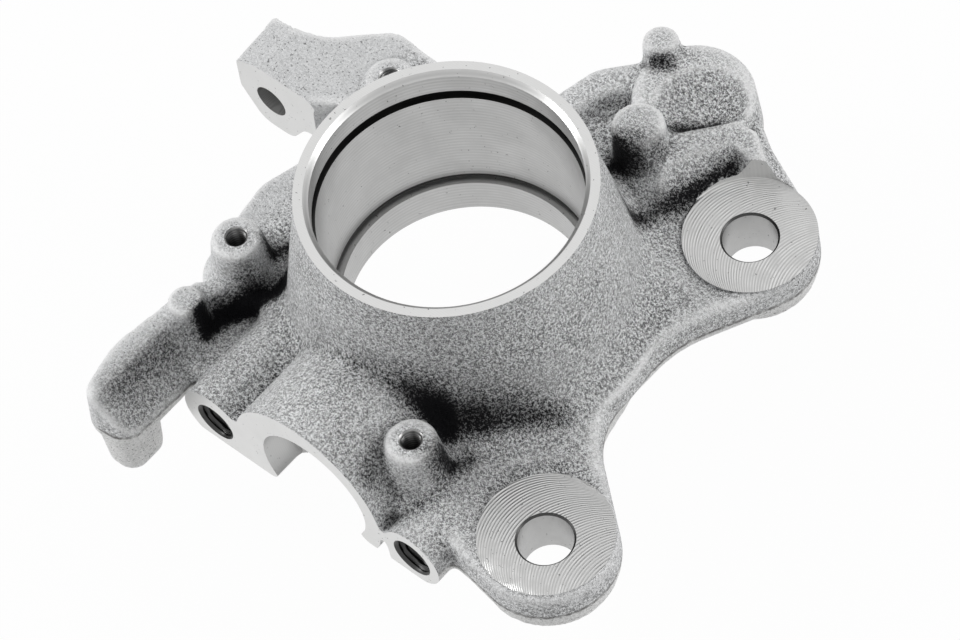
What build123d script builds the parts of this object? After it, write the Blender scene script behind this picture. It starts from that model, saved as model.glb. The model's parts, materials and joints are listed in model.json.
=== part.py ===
from build123d import *
from math import asin, atan2, cos, hypot, radians, sin, tan
import os

# Steering knuckle: one iron casting with machined seats.
# Origin at the centre of the wheel bearing seat. +Z is the wheel axis, pointing out to the wheel.
# +Y runs up the car, along the ball joint bolts. The brake caliper sits on the +X side.
# All sizes are in millimetres.

# Wheel bearing seat
seat_radius = 36.0
seat_length = 37.0
groove_depth = 2.0
groove_width = 2.6
mouth_clearance = 0.6
mouth_chamfer = 1.4
shoulder_step = 2.0
shoulder_thickness = 11.5
undercut_depth = 0.5
undercut_width = 1.6
ring_above_groove = 7.9

# Hub wall round the seat
ring_wall = 3.7
hub_lean = 6.7
hub_flare = 9.0
skirt_wall = 14.5

# Mould: the two halves meet at the parting plane, and every wall leans away from it
parting_z = -23.5
draft = 4.0
cast_round = 2.5
small_round = 1.5
rim_bevel = 0.6

# Web
web_top = -15.5
pocket_floor = -19.5
web_bottom = -27.0
thick_bottom = -31.0

# Brake caliper ears: hole centre, cast radius
upper_ear = (52.3, 56.6)
upper_ear_radius = 18.6
lower_ear = (69.4, -48.2)
lower_ear_radius = 19.4
ear_draft = 8.0
ear_step = 0.3
ear_face_z = -16.0
ear_thickness = 15.4
ear_hole_radius = 7.5
ear_spot_radius = 18.2
spot_cutter_height = 12.0

# Splash shield bosses
shield_circle = 60.5
shield_angles = (149.0, 213.0, 299.0)
shield_boss_radius = 6.9
shield_boss_top = 0.5
shield_boss_lean = 7.0
shield_boss_flare = 3.0
shield_hole_radius = 2.75
shield_hole_depth = 14.0

# Ball joint seat
joint_face_y = -70.6
joint_bolt_z = -24.0
joint_bolts_x = (-29.0, 41.2)
joint_boss_radii = (11.0, 9.4)
joint_bolt_radius = 5.6
joint_bolt_depth = 26.0
joint_bore = (7.2, -21.0)
joint_bore_radius = 17.9
joint_bore_depth = 9.5
joint_wall = 12.5
joint_slot_half = 14.7
joint_tip_round = 3.0
joint_hollow_radius = 16.0
joint_hollow_depth = 22.0
arch_centre = (4.8, -22.0)
arch_radius = 25.3
joint_block_bottom = -32.8
joint_boss_length = 30.0

# Steering arm
arm_face_y = 13.0
arm_hole = (-82.4, -15.8)
arm_eye_radius = 12.3
arm_eye_length = 17.4
arm_top = -2.2
arm_neck_bottom = -19.5
arm_stock = 1.0
arm_root_y = 44.8
arm_hole_radius = 5.2
arm_hole_taper = 3.0

# Flank between the arm and the side pad
flank_top = -11.0

# Lug beside the ball joint
lug_outer_x = -58.5
lug_width = 16.0
lug_end_y = -92.5
lug_crest = -10.5
lug_leg_bottom = -43.0
lug_leg_length = 18.0

# Cast pads: place, radius, top
side_pad = (-52.6, -53.0, 4.9, -7.0)
wide_pad = (12.3, 59.7, 7.3, 0.0)
corner_pad = (-3.2, 87.1, 5.0, -4.8)

# Upper lobe and the ridges that stiffen it
lobe_centre = (14.0, 80.0)
lobe_radius = 18.0
lobe_top = -7.2
lobe_hollow = (19.5, 77.5)
lobe_hollow_radius = 20.0
lobe_hollow_floor = -12.5
ridge_top = -7.8
rim_top = -11.0

# Strut tongue on the inboard side
tongue_x = 8.0
tongue_thickness = 30.0
tongue_bottom = -62.0
strut_bolts = ((52.0, -46.0), (84.0, -52.0))
strut_bolt_radius = 6.2

# Mouth chamfers of the machined holes
hole_chamfer = 0.5
bolt_chamfer = 0.7

groove_radius = seat_radius + groove_depth
mouth_radius = seat_radius + mouth_clearance
floor_radius = seat_radius - shoulder_step
ring_radius = mouth_radius + ring_wall
hub_foot_radius = ring_radius + hub_lean
skirt_radius = seat_radius + skirt_wall
groove_top = seat_length / 2 + groove_width
ring_z = groove_top + ring_above_groove
floor_z = -seat_length / 2
hub_bottom = floor_z - shoulder_thickness
lug_inner_x = lug_outer_x + lug_width


def round_end(before, centre, radius, after):
    """Corner whose rounding is the given circle, on an outline from one point to the next."""
    def tangent(point, side):
        dx, dy = centre[0] - point[0], centre[1] - point[1]
        return atan2(dy, dx) + side * asin(radius / hypot(dx, dy))

    a, b = tangent(before, -1), tangent(after, 1)
    dx, dy = after[0] - before[0], after[1] - before[1]
    reach = (dx * sin(b) - dy * cos(b)) / sin(b - a)
    return before[0] + reach * cos(a), before[1] + reach * sin(a), radius


def outline(corners):
    """Closed face from (x, y, rounding) corners."""
    path = FilletPolyline(*[(x, y) for x, y, _ in corners], radius=[r for _, _, r in corners], close=True)
    return make_face(path)


def disc(radius):
    return make_face(Circle(radius).edges())


def half_plate(face, end, rounding, lean=draft):
    """Plate that leans in from the parting plane to the given height, round at the top or bevelled below."""
    half = extrude(face, end - parting_z, taper=lean)
    if end > parting_z:
        half = fillet(half.faces().sort_by(Axis.Z)[-1].edges(), rounding)
    else:
        half = chamfer(half.faces().sort_by(Axis.Z)[0].edges(), rounding * rim_bevel)
    return Pos(0, 0, parting_z) * half


def cast_plate(face, top, bottom, rounding=cast_round):
    return half_plate(face, top, rounding) + half_plate(face, bottom, rounding)


def hub():
    """Cone under the ring that flares into the web, and the skirt below."""
    foot_z = web_top + hub_flare
    flare_radius = hub_foot_radius + hub_flare
    profile = make_face(
        Polyline((0, hub_bottom), (skirt_radius, hub_bottom), (flare_radius, parting_z), (flare_radius, web_top))
        + RadiusArc((flare_radius, web_top), (hub_foot_radius, foot_z), hub_flare)
        + Polyline((hub_foot_radius, foot_z), (ring_radius, ring_z), (0, ring_z), (0, hub_bottom))
    )
    return revolve(Plane.XZ * profile, Axis.Z)


def lower_side(foot, radius, waist_round):
    """Corners of the caliper side from its foot, round the lower ear, to the waist."""
    waist = (57.2, -13.5)
    return [(*foot, 4.0), round_end(foot, lower_ear, radius, waist), (*waist, waist_round)]


def web():
    """Thin web over the whole plan, with thicker plates where it carries the caliper and the ball joint."""
    lower = lower_side((54.0, -65.5), lower_ear_radius, 22.0)
    shoulder, ridge = (55.2, 22.0), (38.4, 83.4)
    upper = [
        (54.8, 3.0, 30.0),
        (*shoulder, 34.0),
        round_end(shoulder, upper_ear, upper_ear_radius, ridge),
        (*ridge, 6.0),
        (29.2, 89.4, 9.0),
        (16.0, 99.0, 12.0),
        (-2.0, 97.0, 8.0),
        (-6.0, 84.0, 12.0),
        (-17.0, 72.0, 12.0),
    ]
    left = [
        (-21.0, 50.0, 14.0),
        (-48.0, 40.0, 10.0),
        (-59.0, 5.0, 10.0),
        (-63.5, -12.0, 12.0),
        (-57.5, -36.5, 8.0),
        (-55.0, -44.0, 4.0),
        (-57.0, -64.0, 6.0),
    ]
    floor = cast_plate(outline(lower + upper + left), pocket_floor, web_bottom, small_round)
    hub_side = [(-21.0, 40.0, 6.0), (8.0, 10.0, 6.0), (8.0, -60.0, 6.0)]
    caliper_side = cast_plate(outline(lower + upper + hub_side), web_top, web_bottom)
    thick = cast_plate(
        outline(lower_side((52.0, -62.0), lower_ear_radius - 3.0, 20.0)
                + [(53.8, 4.0, 12.0), (40.0, 26.0, 8.0), (-30.0, 0.0, 6.0), (-36.0, -62.0, 6.0)]),
        web_top - 1, thick_bottom)
    return floor + caliper_side + thick


def caliper_ear(centre, radius):
    """Ear under the web, as thick as the caliper bolt needs. It leans in more than the web does."""
    return Pos(centre[0], centre[1], 0) * half_plate(
        disc(radius - ear_step), ear_face_z - ear_thickness, cast_round, ear_draft)


def shield_bosses():
    """Three tapered bosses with flared feet, on the splash shield's circle."""
    height = shield_boss_top - web_top
    foot = shield_boss_radius + height * tan(radians(shield_boss_lean))
    edge, flare_top = foot + shield_boss_flare, web_top + shield_boss_flare
    profile = make_face(
        Polyline((0, parting_z), (edge, parting_z), (edge, web_top - 1))
        + RadiusArc((edge, web_top - 1), (foot, flare_top), shield_boss_flare + 2)
        + Polyline((foot, flare_top), (shield_boss_radius, shield_boss_top), (0, shield_boss_top), (0, parting_z)))
    boss = revolve(Plane.XZ * profile, Axis.Z)
    boss = fillet(boss.edges().filter_by(GeomType.CIRCLE).sort_by(Axis.Z)[-1], small_round)
    return [Rot(0, 0, a) * Pos(shield_circle, 0, 0) * boss for a in shield_angles]


def pad(x, y, radius, top):
    """Short cast stub with a rounded rim."""
    height = top - parting_z
    stub = extrude(Circle(radius + height * tan(radians(draft))), height, taper=draft)
    stub = fillet(stub.edges().filter_by(GeomType.CIRCLE).sort_by(Axis.Z)[-1], small_round)
    return Pos(x, y, parting_z) * stub


def joint_profile(bottom):
    """Arch with a bolt boss on each side, seen along +Y, cut flat at the given height between the bosses."""
    size = 4 * arch_radius
    arch = Pos(*arch_centre) * Circle(arch_radius)
    arch &= Pos(arch_centre[0], bottom + size / 2) * Rectangle(size, size)
    bosses = Sketch()
    for x, radius in zip(joint_bolts_x, joint_boss_radii):
        inwards = 1 if x < joint_bore[0] else -1
        bosses += Pos(x, joint_bolt_z) * Circle(radius)
        bosses += Pos(x + inwards * radius / 2, (joint_bolt_z + joint_block_bottom) / 2) * Rectangle(
            radius - 1, joint_bolt_z - joint_block_bottom)
    return arch + (bosses & Pos(0, joint_block_bottom + size / 2) * Rectangle(2 * size, size))


def joint_block():
    """Wall that carries the ball joint face, with the arch and the bolt bosses running back into the hub."""
    face_plane = Plane((0, joint_face_y, 0), x_dir=(1, 0, 0), z_dir=(0, -1, 0))
    slot_top = joint_bolt_z
    slot = Pos(joint_bore[0], (slot_top + joint_block_bottom) / 2) * Rectangle(
        2 * joint_slot_half, slot_top - joint_block_bottom)
    wall = joint_profile(joint_block_bottom) - slot
    tips = [v for v in wall.vertices() if v.Y < joint_block_bottom + 0.01
            and abs(v.X - joint_bore[0]) < joint_slot_half + 0.01]
    wall = fillet(tips, joint_tip_round)
    behind = extrude(face_plane * joint_profile(web_bottom), -joint_boss_length)
    return extrude(face_plane * wall, -joint_wall) + behind


def behind_joint():
    """Room under the arch, behind the wall: the web stays, and nothing hangs below it."""
    left, right = joint_bolts_x[0] + joint_boss_radii[0], joint_bolts_x[1] - joint_boss_radii[1]
    front, back = joint_face_y + joint_wall, -skirt_radius
    return Pos((left + right) / 2, (front + back) / 2, web_bottom) * Box(
        right - left, back - front, 30, align=(Align.CENTER, Align.CENTER, Align.MAX))


def steering_arm():
    """Flat arm, seen from above and from the side, ending in an eye for the tie rod."""
    eye_x, eye_z = arm_hole
    tip = eye_x - arm_eye_radius
    eye_back = arm_face_y + arm_eye_length
    front = arm_face_y - arm_stock
    plan = outline([(tip + 1, front, 1.0), (eye_x + 15, front, 5.0), (-56.0, 19.0, 4.0), (-40.0, 10.0, 3.0),
                    (-36.0, 43.5, 3.0), (-47.0, arm_root_y, 6.0), (-62.5, arm_root_y + 1, 8.0),
                    (eye_x + 5, eye_back + 2, 14.0), (eye_x - 4.5, eye_back - 0.5, 2.0),
                    (tip - 1, eye_back + 0.9, 1.2)])
    side = outline([(tip - 2, eye_z + 9.5, 2.0), (eye_x - 3, arm_top, 4.0), (-36.0, arm_top, 1.0),
                    (-36.0, arm_neck_bottom, 1.0), (eye_x + 12, arm_neck_bottom, 3.0),
                    (eye_x + 6, eye_z - arm_eye_radius, 5.0), (eye_x - 5, eye_z - arm_eye_radius, 6.0),
                    (tip - 2, eye_z + 3, 4.0)])
    upper = extrude(Pos(0, 0, eye_z) * plan, arm_top + 2 - eye_z, taper=2.0)
    lower = extrude(Pos(0, 0, eye_z) * plan, -20, taper=2.0)
    return (upper + lower) & extrude(Plane.XZ * side, -60)


def flank():
    """Raised plate from the arm's root, round the shield boss, to the side pad."""
    return half_plate(outline([(-38.0, 12.0, 4.0), (-59.5, 6.0, 8.0), (-64.6, -11.0, 12.0), (-62.5, -25.0, 8.0),
                               (-56.0, -37.0, 8.0), (-55.0, -50.0, 3.0), (-49.5, -49.0, 3.0), (-43.5, -33.0, 8.0),
                               (-34.0, -20.0, 4.0)]), flank_top, small_round)


def lug():
    """Wall that runs past the ball joint face and ends in a hanging leg."""
    leg_back = lug_end_y + lug_leg_length
    wall = outline([(lug_outer_x + 1, -44.0, 4.0), (lug_outer_x - 3.5, leg_back, 30.0),
                    (lug_outer_x + 1, lug_end_y, 6.0), (lug_inner_x, lug_end_y + 3, 6.0),
                    (lug_inner_x, -66.0, 2.0), (lug_inner_x + 3, -40.0, 3.0)])
    bottom = parting_z - 4
    side = outline([(lug_outer_x - 6, bottom, 1.0), (lug_outer_x - 6, lug_crest, 0.5),
                    (lug_outer_x + 5, lug_crest, 3.0), (lug_inner_x - 1, parting_z + 2, 2.0),
                    (lug_inner_x + 6, parting_z + 2, 1.0), (lug_inner_x + 6, bottom, 1.0)])
    crest = cast_plate(wall, lug_crest, bottom, small_round) & extrude(Plane.XZ * side, 5 - lug_end_y)
    leg = half_plate(outline([(lug_outer_x + 1, lug_end_y + 1, 6.0), (lug_inner_x - 0.6, lug_end_y + 1.5, 6.0),
                              (lug_inner_x - 0.6, leg_back, 6.0), (lug_outer_x + 1, leg_back, 6.0)]),
                     lug_leg_bottom, 4.0)
    return crest + leg


def upper_lobe():
    """Round lobe over the strut, hollowed towards the hub, with the ridges that tie it to the ear and the rim."""
    lobe = Pos(*lobe_centre) * (half_plate(disc(lobe_radius), lobe_top, 3.0)
                                + half_plate(disc(lobe_radius), thick_bottom, cast_round))
    foot = make_face(Polyline((37.5, 31.0), (38.5, 44.0), (40.0, 56.0), (42.4, 66.0), (45.2, 68.0), (49.0, 76.3),
                              (37.0, 82.3), (26.5, 83.5), (17.5, 74.5), (11.0, 62.0), (11.0, 44.0), close=True))
    crest = make_face(Polyline((23.0, 57.0), (24.5, 60.5), (26.5, 64.5), (33.0, 73.5), (45.8, 71.6), (46.0, 72.9),
                               (35.5, 80.5), (29.5, 80.0), (21.5, 70.5), (14.5, 62.0), (15.5, 58.0), close=True))
    ridge = loft([Pos(0, 0, pocket_floor - 1.5) * foot, Pos(0, 0, ridge_top) * crest], ruled=True)
    hollow = Pos(*lobe_hollow, lobe_hollow_floor + lobe_hollow_radius) * Sphere(lobe_hollow_radius)
    rim = half_plate(outline([(-21.0, 52.0, 3.0), (-10.0, 50.0, 4.0), (-7.0, 66.0, 12.0), (4.0, 78.0, 4.0),
                              (-2.0, 88.0, 4.0), (-16.0, 73.0, 12.0)]), rim_top, 3.0)
    return (lobe - hollow) + ridge + rim


def strut_tongue():
    """Tongue that the strut's fork grips."""
    side = outline([(46.0, web_bottom + 1, 2.0), (96.0, web_bottom + 5, 6.0), (96.0, tongue_bottom, 10.0),
                    (60.0, tongue_bottom, 14.0), (42.0, -52.0, 10.0)])
    tongue = extrude(Plane.YZ * side, tongue_thickness / 2, both=True)
    return Pos(tongue_x, 0, 0) * tongue


def bearing_bore():
    """Everything the boring bar takes out: mouth, circlip groove, seat, undercut and shoulder hole."""
    undercut_radius = seat_radius + undercut_depth
    below = hub_bottom - 30
    profile = make_face(Polyline(
        (0, ring_z + 1), (mouth_radius + mouth_chamfer + 1, ring_z + 1), (mouth_radius, ring_z - mouth_chamfer),
        (mouth_radius, groove_top), (groove_radius, groove_top), (groove_radius, seat_length / 2),
        (seat_radius, seat_length / 2), (seat_radius, floor_z + undercut_width),
        (undercut_radius, floor_z + undercut_width), (undercut_radius, floor_z),
        (floor_radius, floor_z), (floor_radius, below), (0, below), close=True))
    return revolve(Plane.XZ * profile, Axis.Z)


def drill(start, direction, radius, depth, chamfer_size=0.0):
    """Straight hole from a point of a face into the metal, with an optional chamfer at its mouth."""
    mouth = radius + chamfer_size + (1 if chamfer_size else 0)
    profile = Polyline((0, -1), (mouth, -1), (radius, chamfer_size), (radius, depth), (0, depth), close=True)
    return Plane(start, z_dir=direction) * revolve(Plane.XZ * make_face(profile), Axis.Z)


def ear_cutters(x, y):
    """Spot face of an ear and its caliper bolt hole."""
    spot = Pos(x, y, ear_face_z) * extrude(Circle(ear_spot_radius), spot_cutter_height)
    hole = drill((x, y, ear_face_z), (0, 0, -1), ear_hole_radius, ear_thickness + 20, hole_chamfer)
    return [spot, hole]


def shield_hole(angle):
    place = (shield_circle * cos(radians(angle)), shield_circle * sin(radians(angle)), shield_boss_top)
    return drill(place, (0, 0, -1), shield_hole_radius, shield_hole_depth, hole_chamfer)


def joint_cutters():
    """Bolt holes and recess of the ball joint face."""
    inwards = (0, 1, 0)
    seat = (joint_bore[0], joint_face_y, joint_bore[1])
    holes = [drill((x, joint_face_y, joint_bolt_z), inwards, joint_bolt_radius, joint_bolt_depth, bolt_chamfer)
             for x in joint_bolts_x]
    return holes + [drill(seat, inwards, joint_bore_radius, joint_bore_depth),
                    drill(seat, inwards, joint_hollow_radius, joint_hollow_depth)]


def arm_cutters():
    """Flat face of the arm's eye and its tapered hole."""
    eye = (arm_hole[0], arm_face_y, arm_hole[1])
    depth = arm_eye_length + 5
    face = Pos(*eye) * Box(2.8 * arm_eye_radius, 6, 40, align=(Align.CENTER, Align.MAX, Align.CENTER))
    cone = Cone(arm_hole_radius, arm_hole_radius - depth * tan(radians(arm_hole_taper)), depth,
                align=(Align.CENTER, Align.CENTER, Align.MIN))
    return [face, Plane(eye, z_dir=(0, 1, 0)) * cone]


def strut_hole(y, z):
    return Pos(tongue_x, y, z) * Rot(0, 90, 0) * Cylinder(strut_bolt_radius, tongue_thickness + 4)


casting = hub() + web() + caliper_ear(lower_ear, lower_ear_radius) + caliper_ear(upper_ear, upper_ear_radius)
casting += [joint_block(), steering_arm(), flank(), lug(), upper_lobe(), strut_tongue()]
casting -= behind_joint()
casting += shield_bosses()
casting += [pad(*p) for p in (side_pad, wide_pad, corner_pad)]

cutters = [bearing_bore()] + ear_cutters(*upper_ear) + ear_cutters(*lower_ear)
cutters += [shield_hole(a) for a in shield_angles] + joint_cutters() + arm_cutters()
cutters += [strut_hole(y, z) for y, z in strut_bolts]
steering_knuckle = casting - cutters

os.makedirs("parts", exist_ok=True)
export_step(steering_knuckle, "parts/steering_knuckle.step")
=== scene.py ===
"""Steering knuckle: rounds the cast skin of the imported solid, cuts its machined seats again and gives each face its
finish."""
import json
import math

import bmesh
import bpy
import numpy as np
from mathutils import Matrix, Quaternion, Vector


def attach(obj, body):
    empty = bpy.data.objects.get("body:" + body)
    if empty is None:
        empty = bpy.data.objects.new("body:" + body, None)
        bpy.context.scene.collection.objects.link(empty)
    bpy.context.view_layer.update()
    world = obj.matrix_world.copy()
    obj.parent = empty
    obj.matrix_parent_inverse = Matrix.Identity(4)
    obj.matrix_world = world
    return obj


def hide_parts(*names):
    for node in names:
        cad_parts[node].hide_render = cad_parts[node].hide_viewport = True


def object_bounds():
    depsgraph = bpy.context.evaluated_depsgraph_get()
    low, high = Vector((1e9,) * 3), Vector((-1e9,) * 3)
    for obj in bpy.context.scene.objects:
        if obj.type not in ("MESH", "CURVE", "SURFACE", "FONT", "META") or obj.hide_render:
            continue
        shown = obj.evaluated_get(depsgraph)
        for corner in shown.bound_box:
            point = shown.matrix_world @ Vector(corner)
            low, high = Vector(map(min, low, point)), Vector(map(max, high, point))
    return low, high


bl_info = {
    "name": "Steering knuckle",
    "version": (1, 0, 0),
    "blender": (4, 5, 0),
    "location": "View3D > Sidebar > Knuckle",
    "description": "Dresses the packed steering knuckle and sets its stage",
    "category": "Object",
}

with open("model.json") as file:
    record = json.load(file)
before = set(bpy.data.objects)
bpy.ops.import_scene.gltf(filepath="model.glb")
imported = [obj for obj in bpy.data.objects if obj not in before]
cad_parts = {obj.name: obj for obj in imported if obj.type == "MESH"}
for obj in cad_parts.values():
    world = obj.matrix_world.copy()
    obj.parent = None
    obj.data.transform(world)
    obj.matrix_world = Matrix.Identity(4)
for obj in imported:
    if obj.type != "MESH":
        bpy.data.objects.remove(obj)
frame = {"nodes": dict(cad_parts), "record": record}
CAD_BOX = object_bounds()

MM = 0.001
NODE = "steering_knuckle"
PIECE = "knuckle_casting"
BODY = "root"
MOUNTS = {mount["name"]: mount for mount in frame["record"]["mounts"]}


def place_of(name):
    """Position of a mount, in millimetres."""
    return np.array(MOUNTS[name]["pos_m"]) * 1000


def radius_of(name):
    """Radius of a round mount, in millimetres."""
    return MOUNTS[name]["dims"]["r_mm"]


# All sizes from here on are in millimetres. The wheel's axis is Z, and the ball joint's bolts run along Y.
SHIELD_THREADS = ("rear_shield_thread", "side_shield_thread", "front_shield_thread")
JOINT_THREADS = ("left_ball_joint_thread", "right_ball_joint_thread")
CALIPER_BORES = ("upper_caliper_bore", "lower_caliper_bore")
STRUT_BORES = ("lower_strut_bore", "upper_strut_bore")
ON_XY, ON_XZ = (1, 1, 0), (1, 0, 1)
ALONG_X, INWARDS, ALONG_Z = (1, 0, 0), (0, 1, 0), (0, 0, 1)
STOCK = 2.5
PARTING = -23.5
SHARP_ANGLE = 32.0

# Hub and bearing bore
SEAT_RADIUS = radius_of("bearing_bore")
SEAT_TOP = 18.5
GROOVE_RADIUS = 38.0
GROOVE_TOP = 21.1
MOUTH_RADIUS = 36.6
MOUTH_CHAMFER = 1.4
RING_TOP = 29.0
UNDERCUT_RADIUS = 36.5
UNDERCUT_TOP = -16.9
SHOULDER_TOP = -18.5
SHOULDER_RADIUS = 34.0
HUB_BOTTOM = -30.0
HUB_PLUG_RADIUS = 40.0
HUB_CUTTER_RADIUS = 55.0

# Caliper ears, with the disc of each spot face and the skin that is sunken beside it
EAR_FACE = 1000 * MOUNTS["upper_caliper_face"]["pos_m"][2]
EAR_BOTTOM = -31.4
CALIPER_CHAMFER = 0.6
SPOT_RADIUS = 18.4
SPOT_CENTRES = (np.array([51.8, 57.2, EAR_FACE]), np.array([68.4, -46.8, EAR_FACE]))
DISC_RISE = 0.5
SPOT_PLUG_RISE = 0.7
MILL_RADIUS = 19.5
SUNKEN_BAND = 5.0
SUNKEN_DEPTH = 1.6
SUNKEN_START = 1.8

# Ball joint face, its recess and the hollow behind it
JOINT_FACE = 1000 * MOUNTS["ball_joint_face"]["pos_m"][1]
JOINT_FACE_SPAN = (-41.2, 56.0)
RECESS_RADIUS = 17.9
RECESS_DEPTH = 9.5
RECESS_SLOT = 14.7
HOLLOW_RADIUS = 16.0
HOLLOW_DEPTH = 22.0
JOINT_WALL = 12.5
WEB_BOTTOM = -27.0

# Tie rod arm and strut tongue
ARM_FACE = 1000 * MOUNTS["tie_rod_taper"]["pos_m"][1]
ARM_START = -50.0
TAPER_RADIUS = 5.2
TAPER_END_RADIUS = 4.0
TONGUE_HALF = 15.0

# Threads: least radius, greatest radius, depth
SMALL_THREAD = (2.48, 3.0, 14.0)
LARGE_THREAD = (5.15, 6.0, 26.0)
SMALL_THREAD_TOP = 0.5

# How much wider than its hole a plug is, and where the blind ones end
CALIPER_MARGIN = 0.8
SHIELD_MARGIN = 0.7
JOINT_MARGIN = 0.9
PLAIN_MARGIN = 0.15
RECESS_ALLOWANCE = 1.01
SHIELD_PLUG_BOTTOM = -14.0
JOINT_PLUG_DEPTH = 26.3
TAPER_PLUG_DEPTH = 17.2

# Streaks of painted shade in valleys and on slopes: x and y of start and end, reach, amount
SHADE_STREAKS = (
    ((-10.0, -41.0), (6.0, -40.5), 8.0, 0.5),
    ((6.0, -40.5), (18.0, -40.5), 10.0, 1.0),
    ((18.0, -40.5), (28.0, -39.0), 9.0, 1.1),
    ((28.0, -39.0), (36.0, -32.0), 7.0, 0.75),
    ((36.0, -32.0), (49.0, -18.0), 6.5, 0.65),
    ((38.0, -42.0), (35.0, -52.0), 6.0, 0.8),
    ((41.0, -46.0), (54.0, -27.0), 14.0, 0.2),
    ((21.0, -58.0), (24.0, -66.0), 5.0, 0.4),
    ((9.0, 51.0), (15.0, 55.0), 6.5, 1.0),
    ((15.0, 55.0), (19.0, 59.0), 4.5, 0.5),
    ((25.0, 38.0), (31.0, 56.0), 6.0, 0.75),
    ((31.0, 56.0), (36.0, 69.0), 5.0, 0.8),
    ((-46.5, -47.0), (-36.5, -30.5), 5.0, 1.2),
    ((-47.0, -53.0), (-46.0, -47.0), 5.0, 1.0),
    ((0.0, 81.0), (3.0, 83.0), 4.5, 0.9),
    ((17.0, 70.0), (24.0, 77.0), 5.0, 0.9),
    ((-52.5, -83.0), (-50.5, -65.0), 8.0, 0.42),
    ((-45.0, -27.0), (-43.0, -22.0), 4.5, 0.9),
)
SHADE_STREAK_TOP = 14.0
SHADE_STREAK_FADE = 20.0
LEVEL_LOSS = 0.3

# Cast stubs and bosses, which are rounded less: x, y, radius
STUBS = ((-52.6, -53.0, 4.9), (12.3, 59.7, 7.3), (-3.2, 87.1, 5.0),
         *((*place_of(name)[:2], 6.9) for name in SHIELD_THREADS))
STUB_MARGIN = 2.5
STUB_FOOT = -16
STUB_SHARE = 0.35

# Finish of a face, as its material index; the darkest cut finish stands for painted shade in threads, grooves and
# chamfers
SKIN, TURNED, MILLED, GROUND, DRILLED, SHADED_CUT, FINE_THREAD, BORED = range(8)

# Colours of the skin's marks: pits, painted shadow in corners, painted highlight on outer edges, painted shade in
# streaks, and the parting seam
PIT_COLOUR = (0.03, 0.03, 0.03)
SHADOW_COLOUR = (0.02, 0.02, 0.021)
EDGE_HIGHLIGHT_COLOUR = (0.9, 0.9, 0.9)
# painted shade, laid in streaks along valleys and slopes
STREAK_SHADE_COLOUR = (0.004, 0.004, 0.005)
SEAM_COLOUR = (0.07, 0.065, 0.06)

# Stage: half the floor's side, its gap under the part, and the side to which the sky is dimmest
FLOOR_HALF = 3000.0
FLOOR_GAP = 0.2
DIM_SIDE = (0.56, -0.77, 0.3)
DIM_SHARE = 0.2


class CastingSettings(bpy.types.PropertyGroup):
    grid: bpy.props.FloatProperty(
        name="Grid", description="Edge length of the casting's surface grid", default=1.02 * MM, unit="LENGTH")
    stock: bpy.props.FloatProperty(
        name="Stock", description="Metal left on the seats before they are cut", default=STOCK * MM, unit="LENGTH")
    rounding: bpy.props.IntProperty(
        name="Rounding", description="Passes that round the cast edges", default=2)
    filling: bpy.props.IntProperty(
        name="Filling", description="Passes that fill the inner corners of the casting", default=11)
    upper_colour: bpy.props.FloatVectorProperty(
        name="Upper skin", description="Colour of the sand cast skin", subtype="COLOR", size=3,
        default=(0.665, 0.67, 0.675))
    lower_colour: bpy.props.FloatVectorProperty(
        name="Lower skin", description="Colour of the smoother skin under the parting line", subtype="COLOR", size=3,
        default=(0.77, 0.77, 0.765))


class MachiningSettings(bpy.types.PropertyGroup):
    small_pitch: bpy.props.FloatProperty(
        name="Small pitch", description="Pitch of the M6 threads", default=1.0 * MM, unit="LENGTH")
    large_pitch: bpy.props.FloatProperty(
        name="Large pitch", description="Pitch of the M12 threads", default=1.75 * MM, unit="LENGTH")
    metal_colour: bpy.props.FloatVectorProperty(
        name="Cut metal", description="Colour of freshly cut iron", subtype="COLOR", size=3,
        default=(0.62, 0.62, 0.615))


class StageSettings(bpy.types.PropertyGroup):
    position: bpy.props.FloatVectorProperty(
        name="Camera position", description="Where the camera stands", subtype="TRANSLATION", size=3,
        default=(0.66981, -0.54894, 1.25427))
    aim: bpy.props.FloatVectorProperty(
        name="Camera aim", description="Point on the camera's axis", subtype="TRANSLATION", size=3,
        default=(0.01370, -0.00906, -0.01088))
    roll: bpy.props.FloatProperty(
        name="Roll", description="Turn of the camera about its own axis", subtype="ANGLE",
        default=math.radians(-11.66))
    lens: bpy.props.FloatProperty(
        name="Lens", description="Focal length in millimetres on a 36 mm sensor", default=215.08)
    sky: bpy.props.FloatProperty(name="Sky", description="Strength of the light from behind and above", default=0.8)
    key: bpy.props.FloatProperty(name="Key light", description="Power of the main lamp in watts", default=5.0)
    fill: bpy.props.FloatProperty(name="Fill light", description="Power of the second lamp in watts", default=3.0)
    key_place: bpy.props.FloatVectorProperty(
        name="Key light place", description="Where the main lamp hangs", subtype="TRANSLATION", size=3,
        default=(-0.8, -0.6, 0.5))
    fill_place: bpy.props.FloatVectorProperty(
        name="Fill light place", description="Where the second lamp hangs", subtype="TRANSLATION", size=3,
        default=(0.75, 0.6, 0.5))
    lamp_size: bpy.props.FloatProperty(
        name="Lamp size", description="Diameter of both lamps", default=0.5, unit="LENGTH")


def mesh_from(name, points, faces):
    """Mesh of points in millimetres."""
    mesh = bpy.data.meshes.new(name)
    mesh.from_pydata((np.asarray(points) * MM).tolist(), [], [list(map(int, face)) for face in faces])
    mesh.update()
    return mesh


def grid_faces(rows, columns):
    """Quads of a grid whose columns close into rings."""
    row, column = np.meshgrid(np.arange(rows - 1), np.arange(columns), indexing="ij")
    after = (column + 1) % columns
    return np.stack([row * columns + column, row * columns + after,
                     (row + 1) * columns + after, (row + 1) * columns + column], -1).reshape(-1, 4)


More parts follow.
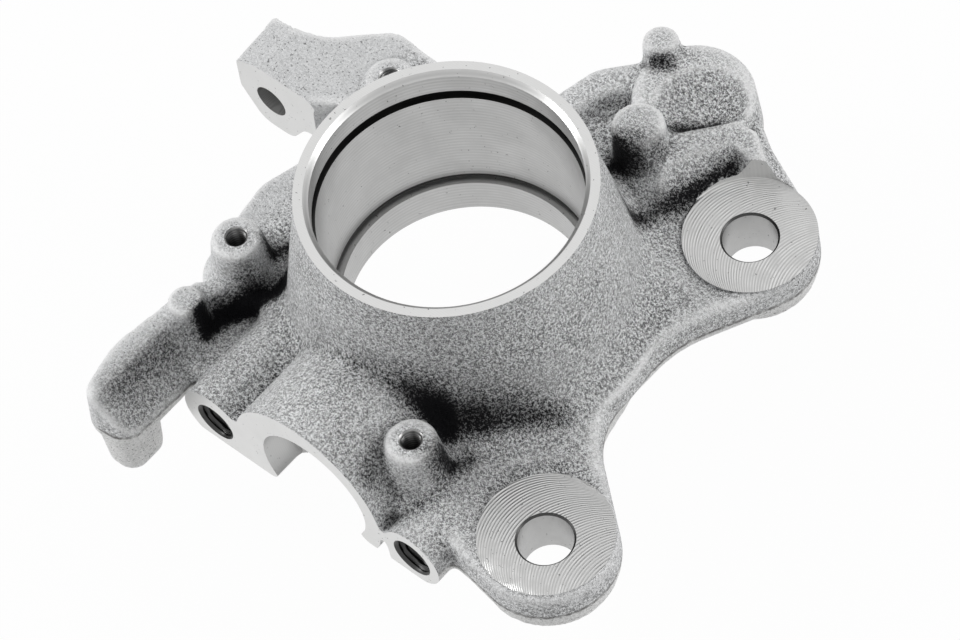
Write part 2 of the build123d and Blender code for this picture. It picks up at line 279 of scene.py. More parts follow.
def turned_solid(depth, radius, place, axis=ALONG_Z, finish=SKIN, columns=96):
    """Closed solid of rings: point (i, j) lies depth[i] along the axis and radius[i, j] from it, at the angle
    2 pi j / n. radius may be one number per ring, and finish one number per band between two rings. The first and
    last ring are closed with a flat face."""
    depth, radius = np.asarray(depth, float), np.asarray(radius, float)
    if radius.ndim == 1:
        radius = np.repeat(radius[:, None], columns, 1)
    rows, columns = radius.shape
    angle = np.linspace(0, 2 * np.pi, columns, endpoint=False)
    rings = np.stack([radius * np.cos(angle), radius * np.sin(angle), np.repeat(depth[:, None], columns, 1)], -1)
    turn = np.array(Vector(ALONG_Z).rotation_difference(Vector(axis)).to_matrix())
    points = rings.reshape(-1, 3) @ turn.T + np.asarray(place, float)
    faces = grid_faces(rows, columns).tolist()
    bands = np.broadcast_to(finish, rows - 1)
    faces += [list(range(columns))[::-1], list(range((rows - 1) * columns, rows * columns))]
    return points, faces, np.concatenate([np.repeat(bands, columns), bands[[0, -1]]])


def cylinder(radius, low, high, place, axis=ALONG_Z, finish=SKIN):
    """Closed cylinder between two depths along its axis."""
    return turned_solid([low, high], [radius, radius], place, axis, finish)


def block(low, high, finish):
    """Closed box between two corners."""
    x, y, z = zip(low, high)
    points = [(x[i], y[j], z[k]) for i in (0, 1) for j in (0, 1) for k in (0, 1)]
    faces = [[0, 1, 3, 2], [4, 6, 7, 5], [0, 4, 5, 1], [2, 3, 7, 6], [0, 2, 6, 4], [1, 5, 7, 3]]
    return np.array(points, float), faces, np.full(6, finish)


def prism(x, z, near, far):
    """Closed solid between two depths along Y, over the outline whose corners are x and z."""
    count = len(x)
    ring = np.stack([x, np.zeros(count), z], -1)
    faces = grid_faces(2, count).tolist() + [list(range(count)), list(range(count, 2 * count))]
    return np.concatenate([ring + (0, near, 0), ring + (0, far, 0)]), faces, np.full(len(faces), SKIN)


def arch(radius, dip, points=60):
    """Corners (r cos a, r sin a) of a circle whose lowest part is left out: a runs from -dip to pi + dip."""
    angle = np.linspace(-dip, math.pi + dip, points)
    return radius * np.cos(angle), radius * np.sin(angle)


def recess_plugs():
    """Metal in the ball joint recess and in the hollow behind it: circles with their lowest part left out, the first
    down to the slot between its lips and the second down to the web's lower side."""
    place = place_of("ball_joint_recess")
    x, z = arch(RECESS_RADIUS, math.acos(RECESS_SLOT / RECESS_RADIUS))
    x, z = np.append(x, [-RECESS_SLOT, RECESS_SLOT]) * RECESS_ALLOWANCE, np.append(z, [-3.0, -3.0])
    recess = prism(x + place[0], z + place[2], JOINT_FACE - STOCK, JOINT_FACE + JOINT_WALL)
    x, z = arch(HOLLOW_RADIUS * RECESS_ALLOWANCE, math.asin((place[2] - WEB_BOTTOM - 0.2) / HOLLOW_RADIUS))
    hollow = prism(x + place[0], z + place[2], JOINT_FACE + JOINT_WALL - 0.3, JOINT_FACE + HOLLOW_DEPTH + 0.5)
    return [recess, hollow]


def thread_tap(place, axis, thread, pitch, finish):
    """Cutter of a threaded blind hole. Its radius is least + (greatest - least) tri(u / pitch - angle / 2 pi), where
    tri is a triangle wave and u the depth, or the mouth's chamfer where that is wider, and it ends in a drill
    point."""
    least, greatest, depth = thread
    columns, per_turn, above, chamfer = 40, 6, 3.0, 0.3
    u = np.concatenate([[-above], np.arange(0, depth, pitch / per_turn), [depth]])
    angle = np.linspace(0, 1, columns, endpoint=False)
    wave = (u[:, None] / pitch - angle) % 1
    radius = least + (greatest - least) * (1 - np.abs(2 * wave - 1))
    radius = np.maximum(radius, (greatest + chamfer - u)[:, None])
    radius[0] = greatest + chamfer
    u = np.append(u, [depth + 0.02, depth + least * 0.6])
    ends = np.array([[least], [least * 0.04]]) * np.ones(columns)
    return turned_solid(u, np.vstack([radius, ends]), place, -np.asarray(axis, float), finish)


def joined(name, solids):
    """One mesh object of several closed solids, with its faces outwards and their finish as material index."""
    points, faces, finishes, start = [], [], [], 0
    for solid_points, solid_faces, finish in solids:
        points.append(solid_points)
        faces += [[start + index for index in face] for face in solid_faces]
        finishes.append(finish)
        start += len(solid_points)
    mesh = mesh_from(name, np.concatenate(points), faces)
    for _ in range(BORED + 1):
        mesh.materials.append(None)
    mesh.polygons.foreach_set("material_index", np.concatenate(finishes).astype(np.int32))
    bm = bmesh.new()
    bm.from_mesh(mesh)
    bmesh.ops.recalc_face_normals(bm, faces=bm.faces)
    bmesh.ops.triangulate(bm, faces=[face for face in bm.faces if len(face.verts) > 4])
    bm.to_mesh(mesh)
    bm.free()
    return linked(bpy.data.objects.new(name, mesh))


def linked(thing):
    """The object, put into the scene."""
    bpy.context.scene.collection.objects.link(thing)
    return thing


def vectors(mesh, name="co"):
    """Coordinates, or normals, of all points of a mesh, one row each."""
    values = np.empty(len(mesh.vertices) * 3, np.float32)
    mesh.vertices.foreach_get(name, values)
    return values.reshape(-1, 3)


def moved(mesh, points):
    """Puts the points of a mesh at new places."""
    mesh.vertices.foreach_set("co", points.ravel())
    mesh.update()


def written(mesh, name, values):
    """Writes one number per point as an attribute."""
    mesh.attributes.new(name, "FLOAT", "POINT").data.foreach_set("value", values)


def baked_down(thing):
    """Applies the object's modifiers."""
    graph = bpy.context.evaluated_depsgraph_get()
    mesh = bpy.data.meshes.new_from_object(thing.evaluated_get(graph))
    thing.modifiers.clear()
    thing.data = mesh


def plugs():
    """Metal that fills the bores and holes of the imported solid, a little wider than they are."""
    solids = [cylinder(HUB_PLUG_RADIUS, HUB_BOTTOM, RING_TOP + STOCK, (0, 0, 0)), *recess_plugs()]
    for name, spot in zip(CALIPER_BORES, SPOT_CENTRES):
        solids.append(cylinder(radius_of(name) + CALIPER_MARGIN, EAR_BOTTOM, EAR_FACE, place_of(name) * ON_XY))
        solids.append(cylinder(SPOT_RADIUS - 0.2, EAR_FACE - 3, EAR_FACE + SPOT_PLUG_RISE, spot * ON_XY))
    for name in SHIELD_THREADS:
        solids.append(cylinder(radius_of(name) + SHIELD_MARGIN, SHIELD_PLUG_BOTTOM, SMALL_THREAD_TOP,
                               place_of(name) * ON_XY))
    for name in JOINT_THREADS:
        solids.append(cylinder(radius_of(name) + JOINT_MARGIN, JOINT_FACE - STOCK, JOINT_FACE + JOINT_PLUG_DEPTH,
                               place_of(name) * ON_XZ, INWARDS))
    solids.append(cylinder(TAPER_RADIUS + PLAIN_MARGIN, ARM_FACE - STOCK, ARM_FACE + TAPER_PLUG_DEPTH,
                           place_of("tie_rod_taper") * ON_XZ, INWARDS))
    for name in STRUT_BORES:
        solids.append(cylinder(radius_of(name) + PLAIN_MARGIN, -TONGUE_HALF, TONGUE_HALF, place_of(name), ALONG_X))
    return solids


def facing_cutters():
    """Cutters of the flat seats and the bearing bore, none of which touch each other."""
    depth = [60, RING_TOP, RING_TOP, RING_TOP - MOUTH_CHAMFER, GROOVE_TOP, GROOVE_TOP, SEAT_TOP, SEAT_TOP,
             UNDERCUT_TOP, UNDERCUT_TOP, SHOULDER_TOP, SHOULDER_TOP, -75]
    radius = [HUB_CUTTER_RADIUS, HUB_CUTTER_RADIUS, MOUTH_RADIUS + MOUTH_CHAMFER, MOUTH_RADIUS, MOUTH_RADIUS,
              GROOVE_RADIUS, GROOVE_RADIUS, SEAT_RADIUS, SEAT_RADIUS, UNDERCUT_RADIUS, UNDERCUT_RADIUS,
              SHOULDER_RADIUS, SHOULDER_RADIUS]
    bands = [TURNED, GROUND] + [TURNED] * 2 + [SHADED_CUT] * 3 + [TURNED] + [SHADED_CUT] * 2 + [TURNED] * 2
    solids = [turned_solid(depth, radius, (0, 0, 0), finish=bands, columns=192)]
    for spot in SPOT_CENTRES:
        solids.append(turned_solid([0, 0.01, 12], [SPOT_RADIUS + 0.4] * 3, spot, finish=[MILLED, GROUND]))
    left, right = JOINT_FACE_SPAN
    solids.append(block((left, JOINT_FACE - 12, -45), (right, JOINT_FACE, 8), GROUND))
    eye = place_of("tie_rod_taper")
    solids.append(block((eye[0] - 18, ARM_FACE - 6, eye[2] - 20), (eye[0] + 18, ARM_FACE, eye[2] + 20), GROUND))
    return solids


def hole_cutters(settings):
    """Cutters of all holes, none of which touch each other."""
    solids = []
    for name in CALIPER_BORES:
        radius, mouth = radius_of(name), radius_of(name) + CALIPER_CHAMFER
        solids.append(turned_solid([EAR_FACE + 2, EAR_FACE, EAR_FACE - CALIPER_CHAMFER, -50],
                                   [mouth, mouth, radius, radius], place_of(name) * ON_XY,
                                   finish=[SHADED_CUT, SHADED_CUT, DRILLED]))
    for name in SHIELD_THREADS:
        mouth = place_of(name) * ON_XY + (0, 0, SMALL_THREAD_TOP)
        solids.append(thread_tap(mouth, ALONG_Z, SMALL_THREAD, settings.small_pitch / MM, FINE_THREAD))
    for name in JOINT_THREADS:
        mouth = place_of(name) * ON_XZ + (0, JOINT_FACE, 0)
        solids.append(thread_tap(mouth, (0, -1, 0), LARGE_THREAD, settings.large_pitch / MM, SHADED_CUT))
    floor = JOINT_FACE + RECESS_DEPTH
    solids.append(turned_solid([JOINT_FACE - 8, floor, floor, JOINT_FACE + HOLLOW_DEPTH],
                               [RECESS_RADIUS] * 2 + [HOLLOW_RADIUS] * 2, place_of("ball_joint_recess") * ON_XZ,
                               INWARDS, [BORED, BORED, SKIN]))
    solids.append(turned_solid([ARM_FACE - 3, ARM_FACE + 23], [TAPER_RADIUS + 0.16, TAPER_END_RADIUS],
                               place_of("tie_rod_taper") * ON_XZ, INWARDS, DRILLED))
    for name in STRUT_BORES:
        solids.append(cylinder(radius_of(name), -TONGUE_HALF - 5, TONGUE_HALF + 5, place_of(name), ALONG_X, DRILLED))
    return solids


def combine(thing, other, operation="DIFFERENCE"):
    """Cuts the other object away from the first, or adds it, and removes it."""
    boolean = thing.modifiers.new("cut", "BOOLEAN")
    boolean.operation = operation
    boolean.solver = "MANIFOLD"
    boolean.object = other
    baked_down(thing)
    bpy.data.objects.remove(other)


class KNUCKLE_OT_casting(bpy.types.Operator):
    """Makes the rounded casting, with stock on its seats"""
    bl_idname = "knuckle.casting"
    bl_label = "Casting"

    def execute(self, context):
        settings = context.scene.knuckle_casting
        bm = bmesh.new()
        bm.from_mesh(frame["nodes"][NODE].data)
        bmesh.ops.remove_doubles(bm, verts=bm.verts, dist=1e-6)
        mesh = bpy.data.meshes.new(PIECE)
        bm.to_mesh(mesh)
        bm.free()
        stocked(mesh, settings.stock)
        piece = linked(bpy.data.objects.new(PIECE, mesh))
        filler = joined("plugs", plugs())
        with context.temp_override(active_object=piece, selected_editable_objects=[piece, filler]):
            bpy.ops.object.join()
        remesh = piece.modifiers.new("skin", "REMESH")
        remesh.mode = "VOXEL"
        remesh.voxel_size = settings.grid
        baked_down(piece)
        rounded(piece, settings.rounding, edges=0.5)
        rounded(piece, settings.filling, edges=0.0)
        sunken(piece)
        measured(piece, "hollow", passes=40, depth=3.0)
        measured(piece, "corner", passes=8, depth=0.5)
        streak_shaded(piece)
        for _ in range(BORED + 1):
            piece.data.materials.append(None)
        return {"FINISHED"}


def stocked(mesh, stock):
    """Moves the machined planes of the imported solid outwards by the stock."""
    points = vectors(mesh)
    near = 0.02 * MM
    x, y, z = points.T
    on_joint = (abs(y - JOINT_FACE * MM) < near) & (x > JOINT_FACE_SPAN[0] * MM)
    on_arm = (abs(y - ARM_FACE * MM) < near) & (x < ARM_START * MM)
    points[on_joint | on_arm, 1] -= stock
    points[abs(z - RING_TOP * MM) < near, 2] += stock
    mesh.vertices.foreach_set("co", points.ravel())


def flattened(piece, passes, factor):
    """Move of each point to the same surface smoothed by some passes, and how far outwards that goes."""
    mesh = piece.data
    flat = linked(bpy.data.objects.new("flat", mesh.copy()))
    smooth = flat.modifiers.new("flat", "SMOOTH")
    smooth.factor, smooth.iterations = factor, passes
    baked_down(flat)
    move = vectors(flat.data) - vectors(mesh)
    bpy.data.objects.remove(flat)
    return move, (move * vectors(mesh, "normal")).sum(1)


def rounded(piece, passes, edges):
    """Moves each point to the smoothed surface: fully in inner corners, which fills them like a fillet, and by the
    given share on outer edges, which stay crisper. The stubs and bosses keep more of their form."""
    move, outwards = flattened(piece, passes, 0.5)
    points = vectors(piece.data)
    share = np.where(outwards > 0, 1.0, edges)
    for x, y, radius in STUBS:
        reach = np.hypot(points[:, 0] - x * MM, points[:, 1] - y * MM)
        on_stub = (reach < (radius + STUB_MARGIN) * MM) & (points[:, 2] > STUB_FOOT * MM)
        share[on_stub] *= STUB_SHARE
    moved(piece.data, points + move * share[:, None])


def sunken(piece):
    """Lowers the skin beside each spot face on the hub's side: by (1 - s) of a depth, where s is the distance from
    the face's rim as a share of the sunken band, and less towards the outer side of the ear. It starts a little
    inside the rim, where the ear's disc hides it."""
    points = vectors(piece.data)
    for spot in SPOT_CENTRES:
        away = points[:, :2] - spot[:2] * MM
        reach = np.hypot(away[:, 0], away[:, 1])
        share = 1 - (reach - SPOT_RADIUS * MM) / (SUNKEN_BAND * MM)
        towards_hub = np.clip(-(away @ spot[:2]) / (np.linalg.norm(spot[:2]) * reach + 1e-9) + 0.35, 0, 1)
        outside = reach > (SPOT_RADIUS - SUNKEN_START) * MM
        near = (share > 0) & outside & (abs(points[:, 2] - EAR_FACE * MM) < 2.5 * MM)
        points[near, 2] -= SUNKEN_DEPTH * MM * (np.minimum(share, 1) * towards_hub)[near]
    moved(piece.data, points)


def measured(piece, name, passes, depth):
    """Writes how deep each point lies in a hollow: its distance, outwards, to the same surface smoothed flat, as a
    share of the given depth in millimetres."""
    outwards = flattened(piece, passes, 1.0)[1]
    written(piece.data, name, np.clip(outwards / (depth * MM), -1, 1))


def streak_shaded(piece):
    """Writes how much painted shade a point gets: the largest of amount * s^2 (3 - 2 s) over the streaks, where s is
    1 on a streak's line and 0 at its reach, less of it on level ground than on a slope, more of it lower down, and
    none under the parting line."""
    mesh = piece.data
    points = vectors(mesh) / MM
    level = np.clip((vectors(mesh, "normal")[:, 2] - 0.75) / 0.25, 0, 1)
    most = np.zeros(len(points))
    for start, end, reach, amount in SHADE_STREAKS:
        along = np.subtract(end, start)
        from_start = points[:, :2] - start
        share = np.clip(from_start @ along / (along @ along), 0, 1)
        away = np.linalg.norm(from_start - share[:, None] * along, axis=1)
        near = np.clip(1 - away / reach, 0, 1)
        most = np.maximum(most, amount * near ** 2 * (3 - 2 * near))
    low = np.clip((SHADE_STREAK_TOP - points[:, 2]) / SHADE_STREAK_FADE, 0, 1)
    most *= (1 - LEVEL_LOSS * level) * (points[:, 2] > PARTING) * low
    written(mesh, "residue", most)


class KNUCKLE_OT_machining(bpy.types.Operator):
    """Cuts the seats, holes and threads"""
    bl_idname = "knuckle.machining"
    bl_label = "Machining"

    def execute(self, context):
        piece = bpy.data.objects[PIECE]
        discs = [cylinder(SPOT_RADIUS, EAR_FACE - 4, EAR_FACE + DISC_RISE, spot * ON_XY) for spot in SPOT_CENTRES]
        combine(piece, joined("discs", discs), "UNION")
        combine(piece, joined("facing", facing_cutters()))
        combine(piece, joined("holes", hole_cutters(context.scene.knuckle_machining)))
        mesh = piece.data
        mesh.shade_smooth()
        mesh.set_sharp_from_angle(angle=math.radians(SHARP_ANGLE))
        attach(piece, BODY)
        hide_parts(NODE)
        return {"FINISHED"}


class Nodes:
    """Short way to add nodes to a tree and join them."""

    def __init__(self, tree):
        self.tree = tree
        tree.nodes.clear()

    def add(self, kind, inputs=(), **options):
        node = self.tree.nodes.new("ShaderNode" + kind)
        for key, value in options.items():
            setattr(node, key, value)
        for key, value in dict(inputs).items():
            self.put(node.inputs[key], value)
        return node

    def put(self, socket, value):
        if isinstance(value, bpy.types.NodeSocket):
            self.tree.links.new(value, socket)
        else:
            socket.default_value = value

    def math(self, operation, *values, clamp=False):
        node = self.add("Math", operation=operation, use_clamp=clamp)
        for socket, value in zip(node.inputs, values):
            self.put(socket, value)
        return node.outputs[0]

    def scaled(self, value, factor):
        return self.math("MULTIPLY", value, factor)

    def rest(self, value):
        """What a share leaves of 1."""
        return self.math("SUBTRACT", 1.0, value)

    def spread(self, value, low, high, to_low=0.0, to_high=1.0):
        """Value taken from one range to another, and kept in it."""
        node = self.add("MapRange", {"Value": value, "From Min": low, "From Max": high,
                                     "To Min": to_low, "To Max": to_high})
        return node.outputs["Result"]

    def noise(self, vector, scale, detail=2.0, rough=0.5):
        node = self.add("TexNoise", {"Vector": vector, "Scale": scale, "Detail": detail, "Roughness": rough})
        return node.outputs["Fac"]

    def axes(self, vector):
        return self.add("SeparateXYZ", {"Vector": vector}).outputs

    def attribute(self, name):
        return self.add("Attribute", attribute_name=name).outputs["Fac"]

    def blend(self, factor, first, second):
        node = self.add("Mix", data_type="RGBA")
        self.put(node.inputs["Factor"], factor)
        self.put(node.inputs["A"], first)
        self.put(node.inputs["B"], second)
        return node.outputs["Result"]


def tone(colour, factor=1.0):
    """Opaque colour, lighter or darker by a factor."""
    return (*(factor * channel for channel in colour), 1.0)


def group_tree(name, inputs, outputs):
    """Empty node group with named sockets, its input node's outputs and its output node's inputs."""
    tree = bpy.data.node_groups.new(name, "ShaderNodeTree")
    for socket, kind, default in inputs:
        made = tree.interface.new_socket(socket, in_out="INPUT", socket_type="NodeSocket" + kind)
        if default is not None:
            made.default_value = default
    for socket, kind in outputs:
        tree.interface.new_socket(socket, in_out="OUTPUT", socket_type="NodeSocket" + kind)
    nodes = Nodes(tree)
    source = tree.nodes.new("NodeGroupInput").outputs
    target = tree.nodes.new("NodeGroupOutput").inputs
    return tree, nodes, source, target


def sand_grain_group():
    """Grain of a sand mould: coarse lumps with fine pits between them, as a height and a speckle, with broad patches
    and sparse dark pits as masks."""
    tree, nodes, source, target = group_tree(
        "Sand grain", [("Vector", "Vector", None), ("Grain size", "Float", 0.6 * MM)],
        [("Height", "Float"), ("Speckle", "Float"), ("Patches", "Float"), ("Pits", "Float")])
    scale = nodes.math("DIVIDE", 1.0, source["Grain size"])
    lumps = nodes.noise(source["Vector"], scale, 3.0, 0.7)
    fine = nodes.noise(source["Vector"], nodes.scaled(scale, 2.3), 1.0, 0.6)
    broad = nodes.noise(source["Vector"], nodes.scaled(scale, 0.28), 2.0, 0.5)
    height = nodes.math("ADD", nodes.scaled(lumps, 0.6), nodes.scaled(fine, 0.4))
    nodes.put(target["Height"], nodes.math("ADD", nodes.scaled(broad, 0.5), height))
    nodes.put(target["Speckle"], nodes.spread(height, 0.42, 0.58))
    nodes.put(target["Patches"], nodes.noise(source["Vector"], nodes.scaled(scale, 0.03), 3.0, 0.55))
    dots = nodes.noise(source["Vector"], nodes.scaled(scale, 1.3), 1.0, 0.5)
    nodes.put(target["Pits"], nodes.spread(dots, 0.36, 0.3))
    return tree


def feed_lines_group():
    """Lines that a cutter leaves side by side: a soft wave along one coordinate, uneven from line to line."""
    tree, nodes, source, target = group_tree(
        "Feed lines", [("Along", "Float", 0.0), ("Pitch", "Float", 0.9 * MM), ("Vector", "Vector", None)],
        [("Height", "Float"), ("Shade", "Float")])
    turns = nodes.math("DIVIDE", source["Along"], source["Pitch"])
    wave = nodes.math("SINE", nodes.scaled(turns, 2 * math.pi))
    line = nodes.add("TexNoise", {"W": turns, "Scale": 1.7, "Detail": 2.0}, noise_dimensions="1D").outputs["Fac"]
    broken = nodes.noise(source["Vector"], 260.0, 2.0)
    strength = nodes.spread(broken, 0.3, 0.6, 0.35, 1.0)
    height = nodes.math("MULTIPLY", nodes.math("ADD", wave, nodes.scaled(line, 1.4)), strength)
    nodes.put(target["Height"], height)
    nodes.put(target["Shade"], nodes.spread(height, -0.6, 2.0))
    return tree


def material(name):
    """New material, its nodes, its shader and the Object coordinates."""
    made = bpy.data.materials.new(name)
    made.use_nodes = True
    nodes = Nodes(made.node_tree)
    shader = nodes.add("BsdfPrincipled")
    nodes.put(nodes.add("OutputMaterial").inputs["Surface"], shader.outputs["BSDF"])
    return made, nodes, shader, nodes.add("TexCoord").outputs["Object"]


def placed(nodes, tree, inputs):
    """Outputs of a node group placed in a material."""
    node = nodes.add("Group", node_tree=tree)
    for key, value in inputs.items():
        nodes.put(node.inputs[key], value)
    return node.outputs


def bump(nodes, shader, height, distance):
    """Lets a height tilt the shader's normal."""
    made = nodes.add("Bump", {"Height": height, "Distance": distance, "Strength": 1.0})
    nodes.put(shader.inputs["Normal"], made.outputs["Normal"])


def skin_material(settings, grain):
    """Sand cast skin: dark and coarse above the parting line, light and smooth below it, with a ragged line
    between."""
    made, nodes, shader, place = material("cast_skin")
    sand = placed(nodes, grain, {"Vector": place, "Grain size": 0.8 * MM})
    speckle = sand["Speckle"]
    axes = nodes.axes(place)
    hollow, corner, residue = (nodes.attribute(name) for name in ("hollow", "corner", "residue"))

    # The parting line swings by up to 0.55 mm, and the skin beside the arm's eye is more even
    ragged = nodes.noise(place, 420.0, 3.0, 0.6)
    line = nodes.math("ADD", axes["Z"], nodes.scaled(nodes.math("SUBTRACT", ragged, 0.5), 1.1 * MM))
    below = nodes.spread(line, (PARTING + 0.25) * MM, (PARTING - 0.25) * MM)
    from_line = nodes.math("ABSOLUTE", nodes.math("SUBTRACT", line, PARTING * MM))
    seam = nodes.rest(nodes.spread(from_line, 0.25 * MM, 0.8 * MM))
    seam = nodes.math("MULTIPLY", seam, nodes.spread(ragged, 0.36, 0.56, 0.3, 0.9))
    on_arm = nodes.spread(axes["X"], -48 * MM, -58 * MM)

    # Coarse skin lies in hollows, in patches and round the streaks of painted shade
    coarse = nodes.spread(nodes.math("ADD", hollow, nodes.scaled(sand["Patches"], 0.9)), 0.15, 0.85)
    coarse = nodes.math("MAXIMUM", coarse, nodes.spread(residue, 0.0, 0.4))
    coarse = nodes.math("MULTIPLY", coarse, nodes.rest(below))
    coarse = nodes.math("MULTIPLY", coarse, nodes.rest(on_arm))
    upper, lower = settings.upper_colour, settings.lower_colour
    # The speckle's light and dark tones are partly the grain's own tone and partly painted glints and painted shadows
    # in the grain, strongest on the coarse skin
    even = nodes.blend(speckle, tone(upper, 0.66), tone(upper, 1.3))
    even = nodes.blend(nodes.scaled(on_arm, 0.6), even, tone(upper))
    pitted = nodes.blend(speckle, tone(upper, 0.02), tone(upper, 1.55))
    light = nodes.blend(speckle, tone(lower, 0.85), tone(lower, 1.12))
    skin = nodes.blend(below, nodes.blend(coarse, even, pitted), light)

    # Marks, in order: pits, painted shadow in corners, painted highlight on outer edges, painted shade in streaks,
    # seam
    skin = nodes.blend(nodes.scaled(sand["Pits"], 0.7), skin, tone(PIT_COLOUR))
    shadow = nodes.math("ADD", nodes.spread(hollow, 0.5, 1.0, 0.0, 0.8), nodes.spread(corner, 0.2, 0.9, 0.0, 0.6),
                        clamp=True)
    skin = nodes.blend(shadow, skin, tone(SHADOW_COLOUR))
    skin = nodes.blend(nodes.spread(corner, -0.12, -0.8, 0.0, 0.7), skin, tone(EDGE_HIGHLIGHT_COLOUR))
    # Painted shade in streaks, heavier on the dark grains of the speckle
    painted_streak_shade = nodes.math("MULTIPLY", nodes.spread(residue, 0.0, 0.7), nodes.spread(speckle, 0.1, 1.0, 1.0, 0.5))
    painted_streak_shade = nodes.math("ADD", painted_streak_shade, nodes.spread(residue, 0.45, 0.9, 0.0, 0.5), clamp=True)
    skin = nodes.blend(painted_streak_shade, skin, tone(STREAK_SHADE_COLOUR))
    skin = nodes.blend(nodes.scaled(seam, 0.8), skin, tone(SEAM_COLOUR))

    nodes.put(shader.inputs["Base Color"], skin)
    nodes.put(shader.inputs["Roughness"], nodes.spread(speckle, 0.0, 1.0, 0.62, 0.45))
    shader.inputs["Metallic"].default_value = 0.35
    shader.inputs["Specular IOR Level"].default_value = 0.15
    strength = nodes.spread(coarse, 0.0, 1.0, 0.4, 1.0)
    bump(nodes, shader, nodes.math("MULTIPLY", sand["Height"], strength), 1.6 * MM)
    return made


def cut_metal(name, settings, shine, along, pitch, distance, feed_lines, contrast):
    """Cut iron with feed lines. along is a function that gives the coordinate which the lines follow, shine the
    colour as a share of the cut metal's."""
    made, nodes, shader, place = material(name)
    lines = placed(nodes, feed_lines, {"Along": along(nodes, place), "Pitch": pitch, "Vector": place})
    colour = [shine * channel for channel in settings.metal_colour]
    bright = [min(1.0, (1 + 0.4 * contrast) * channel) for channel in colour]
    shade = nodes.blend(lines["Shade"], tone(colour, 1 - contrast), tone(bright))
    pits = nodes.spread(nodes.noise(place, 900.0, 2.0, 0.7), 0.27, 0.31)
    nodes.put(shader.inputs["Base Color"], nodes.blend(pits, tone(colour, 0.25), shade))
    nodes.put(shader.inputs["Roughness"], nodes.spread(nodes.noise(place, 90.0, 3.0), 0.3, 0.7, 0.3, 0.42))
    shader.inputs["Metallic"].default_value = 0.9
    bump(nodes, shader, lines["Height"], distance)
    return made


def up_the_axis(nodes, place):
    """Height along Z, so that the lines run round the bore."""
    return nodes.axes(place)["Z"]


def into_the_recess(nodes, place):
    """Depth along Y, so that the lines run round the recess."""
    return nodes.axes(place)["Y"]


def milled_arcs(nodes, place):
    """Coordinate of the arcs left by a face mill that moves along X over an ear: x + sqrt(R^2 - v^2), where v is the
    distance across its path. The path runs through the hole of the ear."""
    axes = nodes.axes(place)
    upper, lower = (float(place_of(name)[1]) * MM for name in CALIPER_BORES)
    on_upper = nodes.math("GREATER_THAN", axes["Y"], 0.0)
    path = nodes.math("ADD", nodes.scaled(on_upper, upper - lower), lower)
    across = nodes.math("SUBTRACT", axes["Y"], path)
    inner = nodes.math("SUBTRACT", (MILL_RADIUS * MM) ** 2, nodes.math("MULTIPLY", across, across))
    return nodes.math("ADD", axes["X"], nodes.math("SQRT", nodes.math("MAXIMUM", inner, 0.0)))


# In the order of the material indices: name, shine, coordinate of the lines, pitch, height of the lines, contrast
FINISHES = (
    ("turned_seat", 0.85, up_the_axis, 1.3, 0.004, 0.14),
    ("milled_spot", 1.1, milled_arcs, 0.9, 0.05, 0.35),
    ("ground_face", 1.15, into_the_recess, 0.6, 0.003, 0.04),
    ("drilled_hole", 0.85, up_the_axis, 0.35, 0.01, 0.25),
    # cut metal darkened to a tenth: painted shade in the M12 threads, the bearing groove, the undercut and the
    # caliper bores' chamfers
    ("threaded_hole", 0.1, up_the_axis, 0.5, 0.003, 0.1),
    # lines at the M6 thread's pitch, whose light and dark are painted glints and painted shade on the thread's flanks
    ("fine_thread", 0.5, up_the_axis, 1.0, 0.02, 0.85),
    ("bored_recess", 0.85, into_the_recess, 0.6, 0.003, 0.05),
)


class KNUCKLE_OT_finishes(bpy.types.Operator):
    """Gives the casting and each kind of cut face its material"""
    bl_idname = "knuckle.finishes"
    bl_label = "Finishes"

    def execute(self, context):
        casting, machining = context.scene.knuckle_casting, context.scene.knuckle_machining
        feed_lines = feed_lines_group()
        mesh = bpy.data.objects[PIECE].data
        made = [skin_material(casting, sand_grain_group())]
        for name, shine, along, pitch, distance, contrast in FINISHES:
            made.append(cut_metal(name, machining, shine, along, pitch * MM, distance * MM, feed_lines, contrast))
        index = np.empty(len(mesh.polygons), np.int32)
        mesh.polygons.foreach_get("material_index", index)
        mesh.materials.clear()
        for each in made:
            mesh.materials.append(each)
        mesh.polygons.foreach_set("material_index", index)
        mesh.update()
        return {"FINISHED"}


def lamp(name, place, size, power):
    """Round lamp that points at the part's origin."""
    light = bpy.data.lights.new(name, "AREA")
    light.shape = "DISK"
    light.size = size
    light.energy = power
    made = linked(bpy.data.objects.new(name, light))
    made.location = place
    made.rotation_mode = "QUATERNION"
    made.rotation_quaternion = (-Vector(place)).to_track_quat("-Z", "Y")


def seen_directly(nodes):
    """1 where the ray comes from the camera, a reflection or through glass."""
    path = nodes.add("LightPath").outputs
    camera = nodes.math("ADD", path["Is Camera Ray"], path["Is Glossy Ray"])
    return nodes.math("ADD", camera, path["Is Transmission Ray"], clamp=True)


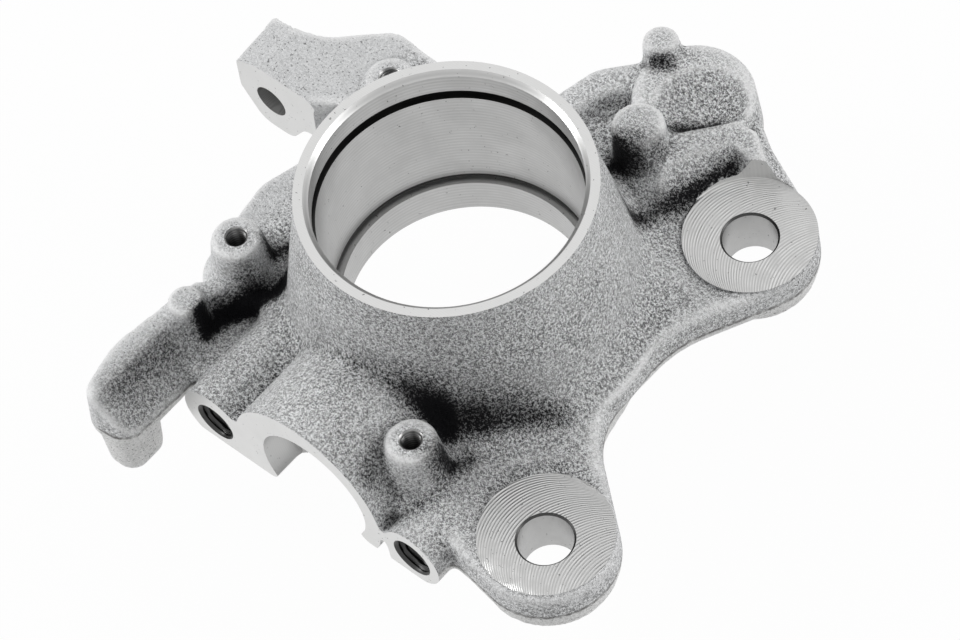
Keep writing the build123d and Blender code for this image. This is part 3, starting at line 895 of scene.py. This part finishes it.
class KNUCKLE_OT_stage(bpy.types.Operator):
    """Sets the floor, sky, lamps and camera"""
    bl_idname = "knuckle.stage"
    bl_label = "Stage"

    def execute(self, context):
        settings = context.scene.knuckle_stage
        self.floor()
        self.sky(context.scene, settings)
        lamp("key", settings.key_place, settings.lamp_size, settings.key)
        lamp("fill", settings.fill_place, settings.lamp_size, settings.fill)
        self.camera(context.scene, settings)
        return {"FINISHED"}

    def floor(self):
        half, low = FLOOR_HALF, CAD_BOX[0][2] / MM - FLOOR_GAP
        corners = [(-half, -half, low), (half, -half, low), (half, half, low), (-half, half, low)]
        ground = linked(bpy.data.objects.new("floor", mesh_from("floor", corners, [(0, 1, 2, 3)])))
        made = bpy.data.materials.new("floor")
        made.use_nodes = True
        nodes = Nodes(made.node_tree)
        matt = nodes.add("BsdfDiffuse", {"Color": tone((0.8, 0.8, 0.8))})
        glow = nodes.add("Emission", {"Color": tone((1, 1, 1)), "Strength": 1.0})
        factor = nodes.scaled(seen_directly(nodes), 0.97)
        mixed = nodes.add("MixShader", {0: factor, 1: matt.outputs[0], 2: glow.outputs[0]})
        nodes.put(nodes.add("OutputMaterial").inputs["Surface"], mixed.outputs[0])
        ground.data.materials.append(made)

    def sky(self, scene, settings):
        """White to the camera. As a light it is graded, and dimmest on one side."""
        world = bpy.data.worlds.new("sky")
        world.use_nodes = True
        nodes = Nodes(world.node_tree)
        seen = seen_directly(nodes)
        facing = nodes.add("VectorMath", {0: nodes.add("TexCoord").outputs["Generated"], 1: DIM_SIDE},
                           operation="DOT_PRODUCT").outputs["Value"]
        graded = nodes.spread(facing, 0.0, 0.7, settings.sky, DIM_SHARE * settings.sky)
        strength = nodes.math("ADD", graded, nodes.math("MULTIPLY", seen, nodes.rest(graded)))
        back = nodes.add("Background", {"Color": tone((1, 1, 1)), "Strength": strength})
        nodes.put(nodes.add("OutputWorld").inputs["Surface"], back.outputs[0])
        scene.world = world
        scene.view_settings.view_transform = "Standard"

    def camera(self, scene, settings):
        data = bpy.data.cameras.new("camera")
        data.sensor_width = 36.0
        data.lens = settings.lens
        data.clip_start, data.clip_end = 0.05, 20.0
        made = linked(bpy.data.objects.new("camera", data))
        position, aim = Vector(settings.position), Vector(settings.aim)
        level = (aim - position).to_track_quat("-Z", "Y")
        made.rotation_mode = "QUATERNION"
        made.location = position
        made.rotation_quaternion = level @ Quaternion(ALONG_Z, settings.roll)
        scene.camera = made


OPERATORS = (KNUCKLE_OT_casting, KNUCKLE_OT_machining, KNUCKLE_OT_finishes, KNUCKLE_OT_stage)


class KNUCKLE_PT_panel(bpy.types.Panel):
    """Lists the steps and their sizes"""
    bl_idname = "KNUCKLE_PT_panel"
    bl_label = "Steering knuckle"
    bl_space_type = "VIEW_3D"
    bl_region_type = "UI"
    bl_category = "Knuckle"

    def draw(self, context):
        for group in (context.scene.knuckle_casting, context.scene.knuckle_machining, context.scene.knuckle_stage):
            for name in type(group).__annotations__:
                self.layout.prop(group, name)
        for operator in OPERATORS:
            self.layout.operator(operator.bl_idname)


CLASSES = (CastingSettings, MachiningSettings, StageSettings, *OPERATORS, KNUCKLE_PT_panel)


def register():
    for each in CLASSES:
        bpy.utils.register_class(each)
    bpy.types.Scene.knuckle_casting = bpy.props.PointerProperty(type=CastingSettings)
    bpy.types.Scene.knuckle_machining = bpy.props.PointerProperty(type=MachiningSettings)
    bpy.types.Scene.knuckle_stage = bpy.props.PointerProperty(type=StageSettings)


def unregister():
    del bpy.types.Scene.knuckle_stage
    del bpy.types.Scene.knuckle_machining
    del bpy.types.Scene.knuckle_casting
    for each in reversed(CLASSES):
        bpy.utils.unregister_class(each)


def main():
    register()
    bpy.ops.knuckle.casting()
    bpy.ops.knuckle.machining()
    bpy.ops.knuckle.finishes()
    bpy.ops.knuckle.stage()


if __name__ == "__main__":
    main()
